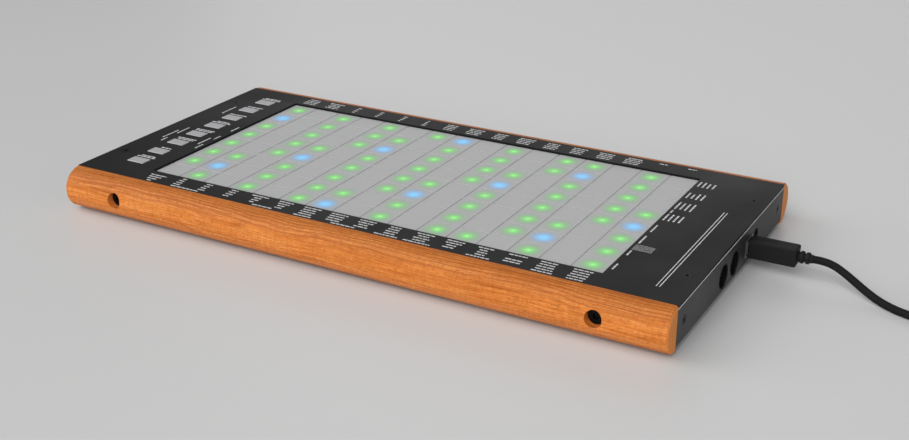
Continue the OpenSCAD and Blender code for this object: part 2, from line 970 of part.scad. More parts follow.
module usb_socket_shell() {
    core_w = usb_shell_w - 2 * usb_wall;
    core_h = usb_shell_h - 2 * usb_wall;
    color("#c4c6c8")
        translate([usb_front - usb_shell_l, usb_y, usb_z]) {
            difference() {
                translate([0, -usb_shell_w / 2, -usb_shell_h / 2])
                    cube([usb_shell_l, usb_shell_w, usb_shell_h]);
                translate([-over, -core_w / 2, -core_h / 2])
                    cube([usb_shell_l + 2 * over, core_w, core_h]);
            }
            for (y = [0, 1])
                mirror([0, y, 0])
                    translate([2, usb_shell_w / 2, main_top_z - usb_z])
                        cube([usb_shell_l / 2, usb_ear, usb_wall]);
        }
}

module usb_socket_core() {
    core_w = usb_shell_w - 2 * usb_wall;
    core_h = usb_shell_h - 2 * usb_wall;
    core_l = usb_shell_l - usb_wall;
    core_x = usb_front - usb_shell_l;
    color("#1b1b1d") {
        difference() {
            translate([core_x, usb_y - core_w / 2, usb_z - core_h / 2])
                cube([core_l, core_w, core_h]);
            usb_extrude(usb_front - usb_open_l, usb_open_l + over, usb_open_w, usb_open_h, usb_corner);
        }
        translate([usb_front - usb_open_l - over, usb_y - usb_tongue[1] / 2, usb_z - usb_tongue[2] / 2])
            cube(usb_tongue + [over, 0, 0]);
    }
}

module power_jack() {
    front = inner_x - fit_gap;
    color("#17181a")
        difference() {
            block(
                [front - jack_l, jack_y - jack_w / 2, main_top_z],
                [front, jack_y + jack_w / 2, jack_z + jack_bore_d / 2 + jack_wall]
            );
            translate([front - jack_bore_l, jack_y, jack_z])
                x_cylinder(jack_bore_d, jack_l);
        }
}

module power_pin() {
    front = inner_x - fit_gap;
    color("silver")
        translate([front - jack_bore_l, jack_y, jack_z])
            x_cylinder(jack_pin_d, jack_bore_l - 1);
}

// Steel collar of the plug, pushed into the socket
module usb_plug_shell() {
    x = plug_x - plug_shell_l;
    color("#c8cacc")
        difference() {
            usb_extrude(x, plug_shell_l, plug_shell_w, plug_shell_h, usb_corner);
            usb_extrude(
                x - over,
                plug_shell_l + 2 * over,
                plug_shell_w - 2 * plug_shell_t,
                plug_shell_h - 2 * plug_shell_t,
                usb_corner - plug_shell_t / 2
            );
        }
}

// Grip section: a rectangle with its four corners cut
module grip_profile(w, h, cut) {
    polygon([
        for (q = [[1, 1], [-1, 1], [-1, -1], [1, -1]])
            let (a = [q[0] * (w / 2 - cut), q[1] * h / 2])
            let (b = [q[0] * w / 2, q[1] * (h / 2 - cut)])
            each (q[0] * q[1] > 0 ? [b, a] : [a, b])
    ]);
}

// Moulded grip from x = 0 to l, drawn in at both ends
module grip(l, w, h, cut, draw) {
    hull()
        for (s = [[0, cut], [cut, 0], [l - 2 * draw, 0], [l, draw]])
            translate([min(s[0], l - 0.05), 0, 0])
                rotate([90, 0, 90])
                    linear_extrude(0.05)
                        grip_profile(w - s[1], h - s[1], cut);
}

module usb_plug_grip() {
    color("#1a1a1b")
        translate([plug_x, usb_y, usb_z])
            grip(plug_l, plug_w, plug_h, 0.8, 1.2);
}

// Ribbed strain relief along +Z, from its wide end
module boot(l, d, thin_d) {
    rotate_extrude()
        polygon([
            [0, 0], [d / 2 - 0.8, 0], [d / 2 - 0.8, 0.16 * l],
            [d / 2, 0.16 * l], [d / 2, 0.4 * l], [thin_d / 2 + 0.3, 0.4 * l],
            [thin_d / 2 + 0.3, 0.54 * l], [d / 2 - 0.2, 0.54 * l], [d / 2 - 0.2, 0.78 * l],
            [thin_d / 2 + 0.3, 0.78 * l], [thin_d / 2 + 0.3, l], [0, l]
        ]);
}

module usb_plug_boot() {
    color("#1a1a1b")
        translate([boot_x, usb_y, usb_z])
            rotate([0, 90, 0])
                boot(boot_l, boot_d, cable_d);
}

module usb_cable() {
    color("#1d1d1e")
        tube(lead_route, cable_d / 2, 10);
}

module cable_coil() {
    color("#1d1d1e")
        tube(coil_line, cable_d / 2, 6);
}

module cable_tail() {
    color("#1d1d1e")
        tube(tail_line, cable_d / 2, 10);
}

// Strap round the coil's turns
module cable_tie() {
    bow = tie_w * tie_w / (8 * coil_r1);
    near = coil_r1 - cable_d / 2 - slide_gap - bow;
    far = coil_r0 + cable_d / 2 + slide_gap;
    low = -cable_d / 2 - slide_gap;
    high = coil_pitch + cable_d / 2 + slide_gap;
    color("#2a2a2c")
        translate(coil_centre)
            rotate([0, 0, tie_a])
                difference() {
                    block([near - tie_t, -tie_w / 2, low - tie_t], [far + tie_t, tie_w / 2, high + tie_t]);
                    block([near, -tie_w, low], [far, tie_w, high]);
                }
}

// Far plug, pointing along +X from the end of the tail
module at_far_plug() {
    translate(far_end)
        rotate([0, 0, 90])
            children();
}

module far_plug_boot() {
    color("#1a1a1b")
        at_far_plug()
            rotate([0, 90, 0])
                mirror([0, 0, 1])
                    translate([0, 0, -far_boot_l])
                        boot(far_boot_l, boot_d, cable_d);
}

module far_plug_grip() {
    color("#1a1a1b")
        at_far_plug()
            translate([far_boot_l + far_l, 0, 0])
                rotate([0, 0, 180])
                    grip(far_l, far_w, far_h, 0.8, 2);
}

module far_plug_shell() {
    t = far_shell_t;
    color("#c8cacc")
        at_far_plug()
            translate([far_boot_l + far_l, -far_shell[1] / 2, -far_shell[2] / 2])
                difference() {
                    cube(far_shell);
                    translate([-over, t, t])
                        cube(far_shell - [-2 * over, 2 * t, 2 * t]);
                    for (y = [0.3, 0.7])
                        translate([0.4 * far_shell[0], y * far_shell[1] - 1.1, far_shell[2] / 2])
                            cube([2.2, 2.2, far_shell[2]]);
                }
}

module far_plug_tongue() {
    t = far_shell_t;
    color("#f0f0ee")
        at_far_plug()
            translate([far_boot_l + far_l, t - far_shell[1] / 2, t - far_shell[2] / 2])
                cube([far_shell[0] - 1, far_shell[1] - 2 * t, far_shell[2] / 2 - t]);
}

echo(coil_least_gap = least_gap(coil_line));
echo(lead_length = line_length(lead_route) + line_length(coil_line) + line_length(tail_line));
echo(coil_centre = coil_centre, coil_radii = [coil_r1, coil_r0], far_end = far_end);

top_cover();
left_end_plate();
right_end_plate();
bottom_tray();
front_rail();
back_rail();
rail_screws();
rail_nuts();
cover_screws();
cover_pillars();
end_screws();
feet();
playing_surface();
pressure_film();
sensor_board();
pad_lamps();
board_pillars();
board_props();
board_screws();
keypad_web();
button_domes();
control_button(0);  // control_button_1
control_button(1);  // control_button_2
control_button(2);  // control_button_3
control_button(3);  // control_button_4
control_button(4);  // control_button_5
control_button(5);  // control_button_6
control_button(6);  // control_button_7
control_button(7);  // control_button_8
main_board();
main_chips();
main_standoffs();
main_screws();
link_cable();
link_sockets();
midi_socket(din_y);  // midi_in_socket
midi_socket(din_y + din_pitch);  // midi_out_socket
usb_socket_shell();
usb_socket_core();
power_jack();
power_pin();
usb_plug_shell();
usb_plug_grip();
usb_plug_boot();
usb_cable();
cable_coil();
cable_tail();
cable_tie();
far_plug_boot();
far_plug_grip();
far_plug_shell();
far_plug_tongue();
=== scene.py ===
"""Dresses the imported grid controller: finishes, printed legends, lit pads, lead and studio."""
import math
import random

import bmesh
import bpy
from mathutils import Matrix, Vector


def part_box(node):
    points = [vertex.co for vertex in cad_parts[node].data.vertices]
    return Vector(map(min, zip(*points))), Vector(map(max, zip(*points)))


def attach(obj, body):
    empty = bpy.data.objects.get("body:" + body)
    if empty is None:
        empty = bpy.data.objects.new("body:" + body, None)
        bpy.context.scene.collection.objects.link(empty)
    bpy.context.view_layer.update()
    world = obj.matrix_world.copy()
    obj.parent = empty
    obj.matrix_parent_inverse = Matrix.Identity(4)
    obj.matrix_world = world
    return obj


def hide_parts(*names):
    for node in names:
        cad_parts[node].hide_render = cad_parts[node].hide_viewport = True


bl_info = {
    "name": "Grid controller",
    "version": (1, 0, 0),
    "blender": (4, 5, 0),
    "location": "View3D > Sidebar > Controller",
    "description": "Dresses a pad controller in a steel case between wooden rails",
    "category": "Object",
}

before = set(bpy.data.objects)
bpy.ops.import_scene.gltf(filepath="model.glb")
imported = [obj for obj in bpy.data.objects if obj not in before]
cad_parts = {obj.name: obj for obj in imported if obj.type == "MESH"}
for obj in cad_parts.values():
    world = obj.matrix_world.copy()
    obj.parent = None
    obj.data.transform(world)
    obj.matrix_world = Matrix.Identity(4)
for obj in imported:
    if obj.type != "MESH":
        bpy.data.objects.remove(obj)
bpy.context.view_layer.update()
MM = 0.001

# Where the case's own solids are, in metres
PANEL_X, _, PANEL_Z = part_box("top_cover")[1]
PLATE_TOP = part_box("right_end_plate")[1].z
# The painted highlight on the end plates' bevel has its lower edge soft between these two heights
BEVEL_LOW, BEVEL_HIGH = PLATE_TOP - 0.62 * MM, PLATE_TOP - 0.54 * MM
COLUMNS, ROWS = 16, 8
BUTTONS = [f"control_button_{i}" for i in range(1, 9)]
# On copies of CAD solids, edges sharper than the first angle are rounded. Edges that are still sharper
# than the second are shaded crisp
ROUNDED_ANGLE, CRISP_ANGLE = math.radians(40.0), math.radians(30.0)
# How far the roughness of an even material varies to either side
GLOSS_SPREAD = 0.05


def linear(code):
    """Linear RGBA of an sRGB hex colour."""
    parts = [int(code[i:i + 2], 16) / 255 for i in (1, 3, 5)]
    return [p / 12.92 if p <= 0.04045 else ((p + 0.055) / 1.055) ** 2.4 for p in parts] + [1.0]


def colour(name, description, code):
    """Colour property that starts from a hex code."""
    return bpy.props.FloatVectorProperty(
        name=name, description=description, subtype="COLOR", size=4,
        min=0.0, max=1.0, default=linear(code))


def length(name, description, millimetres):
    """Length property that starts from a size in millimetres."""
    return bpy.props.FloatProperty(
        name=name, description=description, default=millimetres * MM, unit="LENGTH", precision=5)


class ControllerSizes(bpy.types.PropertyGroup):
    """Sizes of the dressing that a user would change."""
    pad_pitch: length("Pad pitch", "Distance from one lit pad to the next", 19.05)
    panel_edge: length("Panel edge", "Softness of the cover's cut edges", 0.2)
    pad_edge: length("Pad edge", "Softness of the pads' edges", 0.22)
    wood_edge: length("Wood edge", "Rounding of the rails' ends and holes", 0.35)
    button_edge: length("Button edge", "Rounding of the buttons' tops", 0.45)
    moulded_edge: length("Moulded edge", "Rounding of the plugs' grips", 0.9)
    ink: length("Ink", "Thickness of the printed legends", 0.04)
    legend_line: length("Legend line", "Distance between two lines of a legend", 2.9)
    cable: length("Cable", "Diameter of the USB lead", 4.4)


class ControllerColours(bpy.types.PropertyGroup):
    """Colours that a user would change."""
    panel: colour("Panel", "Powder coat of the case", "#141415")
    # Painted highlight: the pale colour painted on the bevelled top edge of the end plates
    bevel_highlight: colour("Bevel highlight", "Bevelled edge of the end plates", "#dedede")
    legend: colour("Legend", "Printed ink", "#c0c0c0")
    sheet: colour("Playing surface", "Silicone of the pads", "#a2a2a3")
    button: colour("Buttons", "Silicone of the control buttons", "#9b9b9d")
    wood_light: colour("Wood, early growth", "Paler part of the grain", "#c07c42")
    wood_mid: colour("Wood", "Main tone of the rails", "#b46a2f")
    # The late growth colour is also used as painted shade on the walls of the bores
    wood_dark_and_bore_shade: colour("Wood, late growth", "Darker part of the grain, also painted shade in the bores", "#8e4919")
    # Painted light: the end grain is painted paler, as if lit more
    wood_end_lit: colour("Wood, end grain", "Ends of the rails, with painted light", "#da893f")
    cable: colour("Cable", "Jacket of the USB lead", "#1b1b1c")
    grip: colour("Grip", "Plugs of the USB lead", "#1b1b1c")
    floor: colour("Floor", "Studio floor", "#bebebe")


def add(tree, kind, inputs=None, stops=None, **settings):
    """Adds a shader node, with its settings, colour stops, and values or links on its inputs."""
    made = tree.nodes.new("ShaderNode" + kind)
    for name, value in settings.items():
        setattr(made, name, value)
    if stops:
        elements = made.color_ramp.elements
        while len(elements) < len(stops):
            elements.new(1.0)
        for element, (position, shade) in zip(elements, stops):
            element.position, element.color = position, shade
    for socket, value in (inputs or {}).items():
        if isinstance(value, bpy.types.NodeSocket):
            tree.links.new(value, made.inputs[socket])
        else:
            made.inputs[socket].default_value = value
    return made


def finish(name, **sockets):
    """New material: returns it with its tree, its surface shader and the object coordinates."""
    made = bpy.data.materials.new(name)
    made.use_nodes = True
    tree = made.node_tree
    shader = tree.nodes["Principled BSDF"]
    for socket, value in sockets.items():
        shader.inputs[socket.replace("_", " ")].default_value = value
    place = add(tree, "TexCoord").outputs["Object"]
    return made, tree, shader, place


def feed(tree, shader, **sockets):
    """Links node outputs to the inputs of a surface shader."""
    for socket, value in sockets.items():
        tree.links.new(value, shader.inputs[socket.replace("_", " ")])


def scaled(base, factor):
    """Colour made darker or paler by a factor."""
    return [min(c * factor, 1.0) for c in base[:3]] + [1.0]


def surface(name, base, roughness, grit_mm, tone=0.08, bump_mm=0.02, metal=0.0, **sockets):
    """Even material whose colour, gloss and relief vary at one grit size in millimetres."""
    made, tree, shader, place = finish(name, Metallic=metal, **sockets)
    grit = add(tree, "TexNoise", {"Vector": place, "Scale": 1 / (grit_mm * MM), "Detail": 3.0})
    clouds = add(tree, "TexNoise", {"Vector": place, "Scale": 1 / (40 * grit_mm * MM), "Detail": 2.0})
    both = add(tree, "Mix", {0: 0.4, "A": grit.outputs[0], "B": clouds.outputs[0]})
    paint = add(tree, "ValToRGB", {0: both.outputs[0]}, stops=[
        (0.3, scaled(base, 1 - tone)), (0.7, scaled(base, 1 + tone))])
    gloss = add(tree, "MapRange", {0: clouds.outputs[0], 1: 0.3, 2: 0.7,
                                   3: roughness - GLOSS_SPREAD, 4: roughness + GLOSS_SPREAD})
    relief = add(tree, "Bump", {"Height": grit.outputs[0], "Strength": 0.4, "Distance": bump_mm * MM})
    feed(tree, shader, Base_Color=paint.outputs[0], Roughness=gloss.outputs[0], Normal=relief.outputs[0])
    return made


def powder_coat(name, colours, shine, highlighted):
    """Black polyester powder baked on steel: dull and finely pebbled, with a painted highlight on its
    bevel if asked.
    """
    made, tree, shader, place = finish(name, IOR=1.5, Specular_IOR_Level=shine)
    # Real pebbles are about 0.2 mm; drawn at 0.7 mm so that they show
    pebbles = add(tree, "TexNoise", {"Vector": place, "Scale": 1 / (0.7 * MM), "Detail": 2.0})
    handled = add(tree, "TexNoise", {"Vector": place, "Scale": 1 / (60 * MM), "Detail": 3.0})
    coat = add(tree, "ValToRGB", {0: pebbles.outputs[0]}, stops=[
        (0.3, scaled(colours.panel, 0.8)), (0.7, scaled(colours.panel, 1.2))])
    paint = coat.outputs[0]
    if highlighted:
        # Painted highlight: a pale band painted along the top bevel of the end plates
        height = add(tree, "SeparateXYZ", {0: place})
        edge = add(tree, "MapRange", {0: height.outputs[2], 1: BEVEL_LOW, 2: BEVEL_HIGH})
        paint = add(tree, "Mix", {0: edge.outputs[0], "A": paint, "B": colours.bevel_highlight},
                    data_type="RGBA").outputs["Result"]
    gloss = add(tree, "MapRange", {0: handled.outputs[0], 1: 0.3, 2: 0.7, 3: 0.44, 4: 0.56})
    relief = add(tree, "Bump", {"Height": pebbles.outputs[0], "Strength": 0.25, "Distance": 0.03 * MM})
    feed(tree, shader, Base_Color=paint, Roughness=gloss.outputs[0], Normal=relief.outputs[0])
    return made


def oiled_wood(colours):
    """Oiled cherry, planed along the rail: growth lines near the top, fine streaks and dark pores."""
    made, tree, shader, place = finish("oiled_cherry", IOR=1.45, Specular_IOR_Level=0.18)
    wander = add(tree, "TexNoise", {"Vector": place, "Scale": 1 / (70 * MM), "Detail": 2.0})
    bent = add(tree, "VectorMath", {0: wander.outputs["Color"], 1: (0.0, 5 * MM, 5 * MM), 2: place},
               operation="MULTIPLY_ADD").outputs[0]
    # Bands 6 mm wide, streaks 0.6 mm wide and pores 0.4 mm wide, each drawn out along the rail, and
    # ripples 1.6 mm wide that cross it
    bands, streaks, pores, ripples = (
        add(tree, "TexNoise", {
            "Vector": add(tree, "Mapping", {
                "Vector": bent,
                "Scale": (1 / (long * MM), 1 / (wide * MM), 1 / (wide * MM))}).outputs[0],
            "Scale": 1.0, "Detail": detail, "Roughness": 0.6}).outputs[0]
        for long, wide, detail in ((200, 6, 2.0), (40, 0.6, 4.0), (2.5, 0.4, 1.0), (1.6, 5, 1.0)))
    # Growth lines 1.3 mm apart, as rings round the heart of the board, which lay behind the front rail
    heart = add(tree, "Mapping", {"Vector": bent, "Location": (0.0, 40 * MM, -10 * MM)})
    rings = add(tree, "TexWave", {"Vector": heart.outputs[0], "Scale": math.pi / 10 / (1.3 * MM),
                                  "Distortion": 2.0, "Detail": 1.0, "Detail Scale": 0.3},
                wave_type="RINGS", rings_direction="X")
    grain = add(tree, "Mix", {0: 0.7, "A": bands, "B": streaks}).outputs[0]
    tone = add(tree, "ValToRGB", {0: grain}, stops=[
        (0.34, colours.wood_dark_and_bore_shade), (0.5, colours.wood_mid), (0.62, colours.wood_light)]).outputs[0]
    height = add(tree, "SeparateXYZ", {0: place}).outputs[2]
    top = add(tree, "MapRange", {0: height, 1: 13 * MM, 2: 25 * MM, 3: 0.05, 4: 0.7}).outputs[0]
    late = add(tree, "MapRange", {0: rings.outputs[1], 1: 0.5, 2: 0.9, 3: 0.0, 4: 1.0}).outputs[0]
    lines = add(tree, "Math", {0: top, 1: late}, operation="MULTIPLY").outputs[0]
    pits = add(tree, "MapRange", {0: pores, 1: 0.55, 2: 0.68, 3: 0.0, 4: 0.75}).outputs[0]
    marks = add(tree, "Math", {0: lines, 1: pits}, operation="MAXIMUM").outputs[0]
    shade = add(tree, "Mix", {0: marks, "A": tone, "B": colours.wood_dark_and_bore_shade}, data_type="RGBA")
    sheen = add(tree, "MapRange", {0: ripples, 1: 0.3, 2: 0.7, 3: 0.92, 4: 1.08}).outputs[0]
    # Painted light: the rail is painted paler towards its foot and a little darker at its top
    foot_light = add(tree, "MapRange", {0: height, 1: 5 * MM, 2: 26 * MM, 3: 1.44, 4: 0.92}).outputs[0]
    level = add(tree, "Math", {0: sheen, 1: foot_light}, operation="MULTIPLY").outputs[0]
    paint = add(tree, "VectorMath", {0: shade.outputs["Result"], 3: level}, operation="SCALE")
    # Painted light on the end grain, which is painted paler, and painted shade on the walls of the
    # bores, which are painted dark
    facing = add(tree, "SeparateXYZ", {0: add(tree, "VectorMath", {
        0: add(tree, "TexCoord").outputs["Normal"]}, operation="ABSOLUTE").outputs[0]})
    end_lit_mask = add(tree, "MapRange", {0: facing.outputs[0], 1: 0.6, 2: 0.95, 3: 0.0, 4: 0.9})
    ringed = add(tree, "Mix", {
        0: add(tree, "Math", {0: late, 1: 0.45}, operation="MULTIPLY").outputs[0],
        "A": colours.wood_end_lit, "B": colours.wood_mid}, data_type="RGBA")
    ends = add(tree, "Mix", {
        0: end_lit_mask.outputs[0], "A": paint.outputs[0], "B": ringed.outputs["Result"]}, data_type="RGBA")
    low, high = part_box("rail_screws")
    head = (high.z - low.z) / 2
    mirrored = add(tree, "VectorMath", {0: place}, operation="ABSOLUTE")
    across = add(tree, "VectorMath", {
        0: mirrored.outputs[0], 1: (high.x - head, 0.0, (high.z + low.z) / 2)}, operation="SUBTRACT")
    flat = add(tree, "VectorMath", {0: across.outputs[0], 1: (1.0, 0.0, 1.0)}, operation="MULTIPLY")
    reach = add(tree, "VectorMath", {0: flat.outputs[0]}, operation="LENGTH").outputs["Value"]
    # Painted shade: the walls of the counterbores are painted with the dark grain colour
    bore_shade = add(tree, "MapRange", {0: reach, 1: head + 0.5 * MM, 2: head + 0.6 * MM, 3: 0.85, 4: 0.0})
    paint = add(tree, "Mix", {0: bore_shade.outputs[0], "A": ends.outputs["Result"], "B": colours.wood_dark_and_bore_shade},
                data_type="RGBA")
    gloss = add(tree, "MapRange", {0: streaks, 1: 0.3, 2: 0.7, 3: 0.42, 4: 0.58})
    hollows = add(tree, "Math", {0: grain, 1: pits}, operation="SUBTRACT")
    relief = add(tree, "Bump", {"Height": hollows.outputs[0], "Strength": 0.35, "Distance": 0.06 * MM})
    feed(tree, shader, Base_Color=paint.outputs["Result"], Roughness=gloss.outputs[0],
         Normal=relief.outputs[0])
    return made


# The lit pads repeat every twelve steps: a column is one step and a row five. Step 0 is blue, these
# are green and the rest stay dark
CYCLE, ROW_STEP = 12, 5
GREEN_STEPS = (2, 4, 5, 7, 9, 11)
# Step of the front left pad, and half a step more to stay clear of rounding
FIRST_STEP = 6.5


def lit_silicone(sizes, colours):
    """Grey translucent silicone over lamps: a soft round glow in the lit pads, dull elsewhere, with the
    lamps' colour and painted shade towards the grooves painted into the skin.
    """
    made, tree, shader, place = finish(
        "lit_silicone", IOR=1.41, Roughness=0.5, Specular_IOR_Level=0.9, Emission_Strength=1.0)
    grit = add(tree, "TexNoise", {"Vector": place, "Scale": 1 / (0.5 * MM), "Detail": 2.0})
    skin = add(tree, "ValToRGB", {0: grit.outputs[0]}, stops=[
        (0.3, scaled(colours.sheet, 0.96)), (0.7, scaled(colours.sheet, 1.04))])
    # Pad units, counted from the front left corner of the surface
    count = add(tree, "VectorMath", {
        0: place,
        1: (1 / sizes.pad_pitch, 1 / sizes.pad_pitch, 0.0),
        2: (COLUMNS / 2, ROWS / 2, 0.0)}, operation="MULTIPLY_ADD")
    cell = add(tree, "VectorMath", {0: count.outputs[0]}, operation="FLOOR")
    inside = add(tree, "VectorMath", {0: count.outputs[0]}, operation="FRACTION")
    offset = add(tree, "VectorMath", {0: inside.outputs[0], 1: (0.5, 0.5, 0.0)}, operation="SUBTRACT")
    away = add(tree, "VectorMath", {0: offset.outputs[0]}, operation="LENGTH").outputs["Value"]
    steps = add(tree, "VectorMath", {0: cell.outputs[0], 1: (1.0, ROW_STEP, 0.0)},
                operation="DOT_PRODUCT")
    shifted = add(tree, "Math", {0: steps.outputs["Value"], 1: FIRST_STEP}, operation="ADD")
    turn = add(tree, "Math", {0: shifted.outputs[0], 1: CYCLE}, operation="MODULO")
    part = add(tree, "Math", {0: turn.outputs[0], 1: CYCLE}, operation="DIVIDE")
    chosen = [(0.0, (0.0, 0.0, 1.0, 1.0))]
    for step in range(1, CYCLE):
        on = 1.0 if step in GREEN_STEPS else 0.0
        if chosen[-1][1] != (0.0, on, 0.0, 1.0):
            chosen.append((step / CYCLE, (0.0, on, 0.0, 1.0)))
    lamps = add(tree, "ValToRGB", {0: part.outputs[0]}, stops=chosen)
    lamps.color_ramp.interpolation = "CONSTANT"
    masks = add(tree, "SeparateColor", {0: lamps.outputs[0]})
    tint = add(tree, "MapRange", {0: away, 1: 0.02, 2: 0.46, 3: 1.0, 4: 0.0})
    # Painted shade: the skin is painted darker towards the grooves, a little less in the grooves
    # themselves
    sides = add(tree, "VectorMath", {0: offset.outputs[0]}, operation="ABSOLUTE")
    side = add(tree, "SeparateXYZ", {0: sides.outputs[0]})
    rim = add(tree, "Math", {0: side.outputs[0], 1: side.outputs[1]}, operation="MAXIMUM")
    groove_shade = add(tree, "ValToRGB", {0: rim.outputs[0]}, stops=[
        (0.42, (1.0, 1.0, 1.0, 1.0)), (0.47, (0.95, 0.95, 0.95, 1.0)), (0.485, (0.96, 0.96, 0.96, 1.0))])
    groove_shaded = add(tree, "Mix", {0: 1.0, "A": skin.outputs[0], "B": groove_shade.outputs[0]},
               data_type="RGBA", blend_type="MULTIPLY")
    glows = []
    shade = groove_shaded.outputs["Result"]
    # For green and blue: the lamp's colour painted into the skin as painted light, and the glow by
    # distance in pads
    for mask, lamp_tint, light in (
            (masks.outputs[1], (0.26, 0.97, 0.24, 1.0), (
                (0.0, (0.22, 0.66, 0.16, 1.0)), (0.1, (0.11, 0.34, 0.08, 1.0)),
                (0.2, (0.05, 0.15, 0.035, 1.0)), (0.3, (0.015, 0.055, 0.01, 1.0)),
                (0.42, (0.0, 0.0, 0.0, 1.0)))),
            (masks.outputs[2], (0.30, 0.90, 1.0, 1.0), (
                (0.0, (0.09, 0.32, 0.62, 1.0)), (0.1, (0.07, 0.25, 0.57, 1.0)),
                (0.2, (0.04, 0.12, 0.36, 1.0)), (0.3, (0.01, 0.04, 0.17, 1.0)),
                (0.42, (0.0, 0.0, 0.0, 1.0))))):
        amount = add(tree, "Math", {0: mask, 1: tint.outputs[0]}, operation="MULTIPLY")
        lamp_tinted = add(tree, "Mix", {0: amount.outputs[0], "A": shade, "B": lamp_tint},
                   data_type="RGBA", blend_type="MULTIPLY")
        shade = lamp_tinted.outputs["Result"]
        fade = add(tree, "ValToRGB", {0: away}, stops=light)
        glows.append(add(tree, "Mix", {0: mask, "A": (0.0, 0.0, 0.0, 1.0), "B": fade.outputs[0]},
                         data_type="RGBA").outputs["Result"])
    glow = add(tree, "Mix", {0: 1.0, "A": glows[0], "B": glows[1]}, data_type="RGBA", blend_type="ADD")
    relief = add(tree, "Bump", {"Height": grit.outputs[0], "Strength": 0.2, "Distance": 0.03 * MM})
    feed(tree, shader, Base_Color=shade, Emission_Color=glow.outputs["Result"], Normal=relief.outputs[0])
    return made


def solder_mask():
    """Green solder mask over fine copper tracks, on glass-fibre board."""
    made, tree, shader, place = finish("solder_mask", Roughness=0.35, IOR=1.5)
    # Tracks every 1.3 mm, broken up by cells of 5 mm
    cells = add(tree, "TexVoronoi", {"Vector": place, "Scale": 1 / (5 * MM)}, distance="MANHATTAN")
    tracks = add(tree, "TexWave", {"Vector": place, "Scale": 1 / (8 * MM), "Distortion": 0.0})
    lines = add(tree, "Math", {0: tracks.outputs[1], 1: cells.outputs[0]}, operation="MULTIPLY")
    paint = add(tree, "ValToRGB", {0: lines.outputs[0]}, stops=[
        (0.25, linear("#123c28")), (0.4, linear("#1c5a3a"))])
    relief = add(tree, "Bump", {"Height": lines.outputs[0], "Strength": 0.3, "Distance": 0.04 * MM})
    feed(tree, shader, Base_Color=paint.outputs[0], Normal=relief.outputs[0])
    return made


def brushed_plate(name, base, roughness):
    """Bright plated steel, drawn along X: fine hair lines 0.3 mm apart."""
    made, tree, shader, place = finish(name, Metallic=1.0)
    hair = add(tree, "TexNoise", {
        "Vector": add(tree, "Mapping", {
            "Vector": place, "Scale": (1 / (12 * MM), 1 / (0.3 * MM), 1 / (0.3 * MM))}).outputs[0],
        "Scale": 1.0, "Detail": 3.0})
    paint = add(tree, "ValToRGB", {0: hair.outputs[0]}, stops=[
        (0.3, scaled(base, 0.85)), (0.7, base)])
    gloss = add(tree, "MapRange", {0: hair.outputs[0], 1: 0.3, 2: 0.7,
                                   3: roughness - 0.06, 4: roughness + 0.06})
    feed(tree, shader, Base_Color=paint.outputs[0], Roughness=gloss.outputs[0])
    return made


def shared(name, make):
    """The material of that name, made when it is first asked for."""
    return bpy.data.materials.get(name) or make()


def moulded_black():
    """Satin black PBT of sockets and chips, moulded with a fine grain."""
    return shared("moulded_pbt", lambda: surface(
        "moulded_pbt", linear("#0f0f10"), 0.5, 0.5, Specular_IOR_Level=0.22))


def black_oxide():
    """Blackened steel of the visible screws."""
    return shared("black_oxide_steel", lambda: surface(
        "black_oxide_steel", linear("#0b0b0c"), 0.4, 0.4, Specular_IOR_Level=0.12))


def zinc_plate():
    """Zinc plate on nuts, pillars and inner screws."""
    return shared("zinc_plated_steel", lambda: brushed_plate(
        "zinc_plated_steel", linear("#c6c8ca"), 0.32))


def nickel_plate():
    """Nickel plate on sockets and plug collars, smooth with faint wear."""
    return shared("nickel_plated_steel", lambda: surface(
        "nickel_plated_steel", linear("#d6d6d4"), 0.45, 2.0, tone=0.05, bump_mm=0.005, metal=1.0))


def cable_jacket(colours):
    """Soft extruded PVC: dull black, with a faint ripple from the die."""
    return shared("extruded_pvc", lambda: surface(
        "extruded_pvc", colours.cable, 0.6, 0.8, tone=0.15, bump_mm=0.03, Specular_IOR_Level=0.04))


def plug_grip(colours):
    """PVC moulded over the plugs: black, a little shinier than the cable and finely grained."""
    return shared("moulded_pvc", lambda: surface(
        "moulded_pvc", colours.grip, 0.55, 0.6, tone=0.15, bump_mm=0.03, Specular_IOR_Level=0.13))


def button_silicone(colours):
    """Grey silicone of the buttons, dull and even."""
    return shared("button_silicone", lambda: surface(
        "button_silicone", colours.button, 0.6, 0.5, tone=0.05, IOR=1.41))


def piece(name, mesh, paint, body, replaced=()):
    """Makes a bmesh into a finished piece that rides on a body and stands for CAD nodes."""
    data = bpy.data.meshes.new(name)
    mesh.to_mesh(data)
    mesh.free()
    data.shade_smooth()
    data.set_sharp_from_angle(angle=CRISP_ANGLE)
    data.materials.append(paint)
    made = bpy.data.objects.new(name, data)
    bpy.context.scene.collection.objects.link(made)
    # Keeps the flats flat beside their rounded edges
    even = made.modifiers.new("even_shading", "WEIGHTED_NORMAL")
    even.keep_sharp = True
    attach(made, body)
    if replaced:
        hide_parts(*replaced)
    return made


def dress(paint, *nodes):
    """Gives CAD nodes a material and leaves their shapes alone."""
    for name in nodes:
        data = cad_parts[name].data
        data.materials.clear()
        data.materials.append(paint)


def softened(node, width, segments=2, only=lambda edge: True):
    """Copy of a CAD node whose outer sharp edges, or only some of them, are rounded."""
    mesh = bmesh.new()
    mesh.from_mesh(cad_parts[node].data)
    bmesh.ops.remove_doubles(mesh, verts=mesh.verts, dist=1e-6)
    bmesh.ops.dissolve_limit(mesh, angle_limit=math.radians(0.5), verts=mesh.verts, edges=mesh.edges)
    edges = [e for e in mesh.edges if e.is_manifold and e.is_convex
             and e.calc_face_angle(0.0) > ROUNDED_ANGLE and only(e)]
    bmesh.ops.bevel(mesh, geom=edges, offset=width, segments=segments, profile=0.5, affect="EDGES",
                    material=-1, clamp_overlap=True)
    return mesh


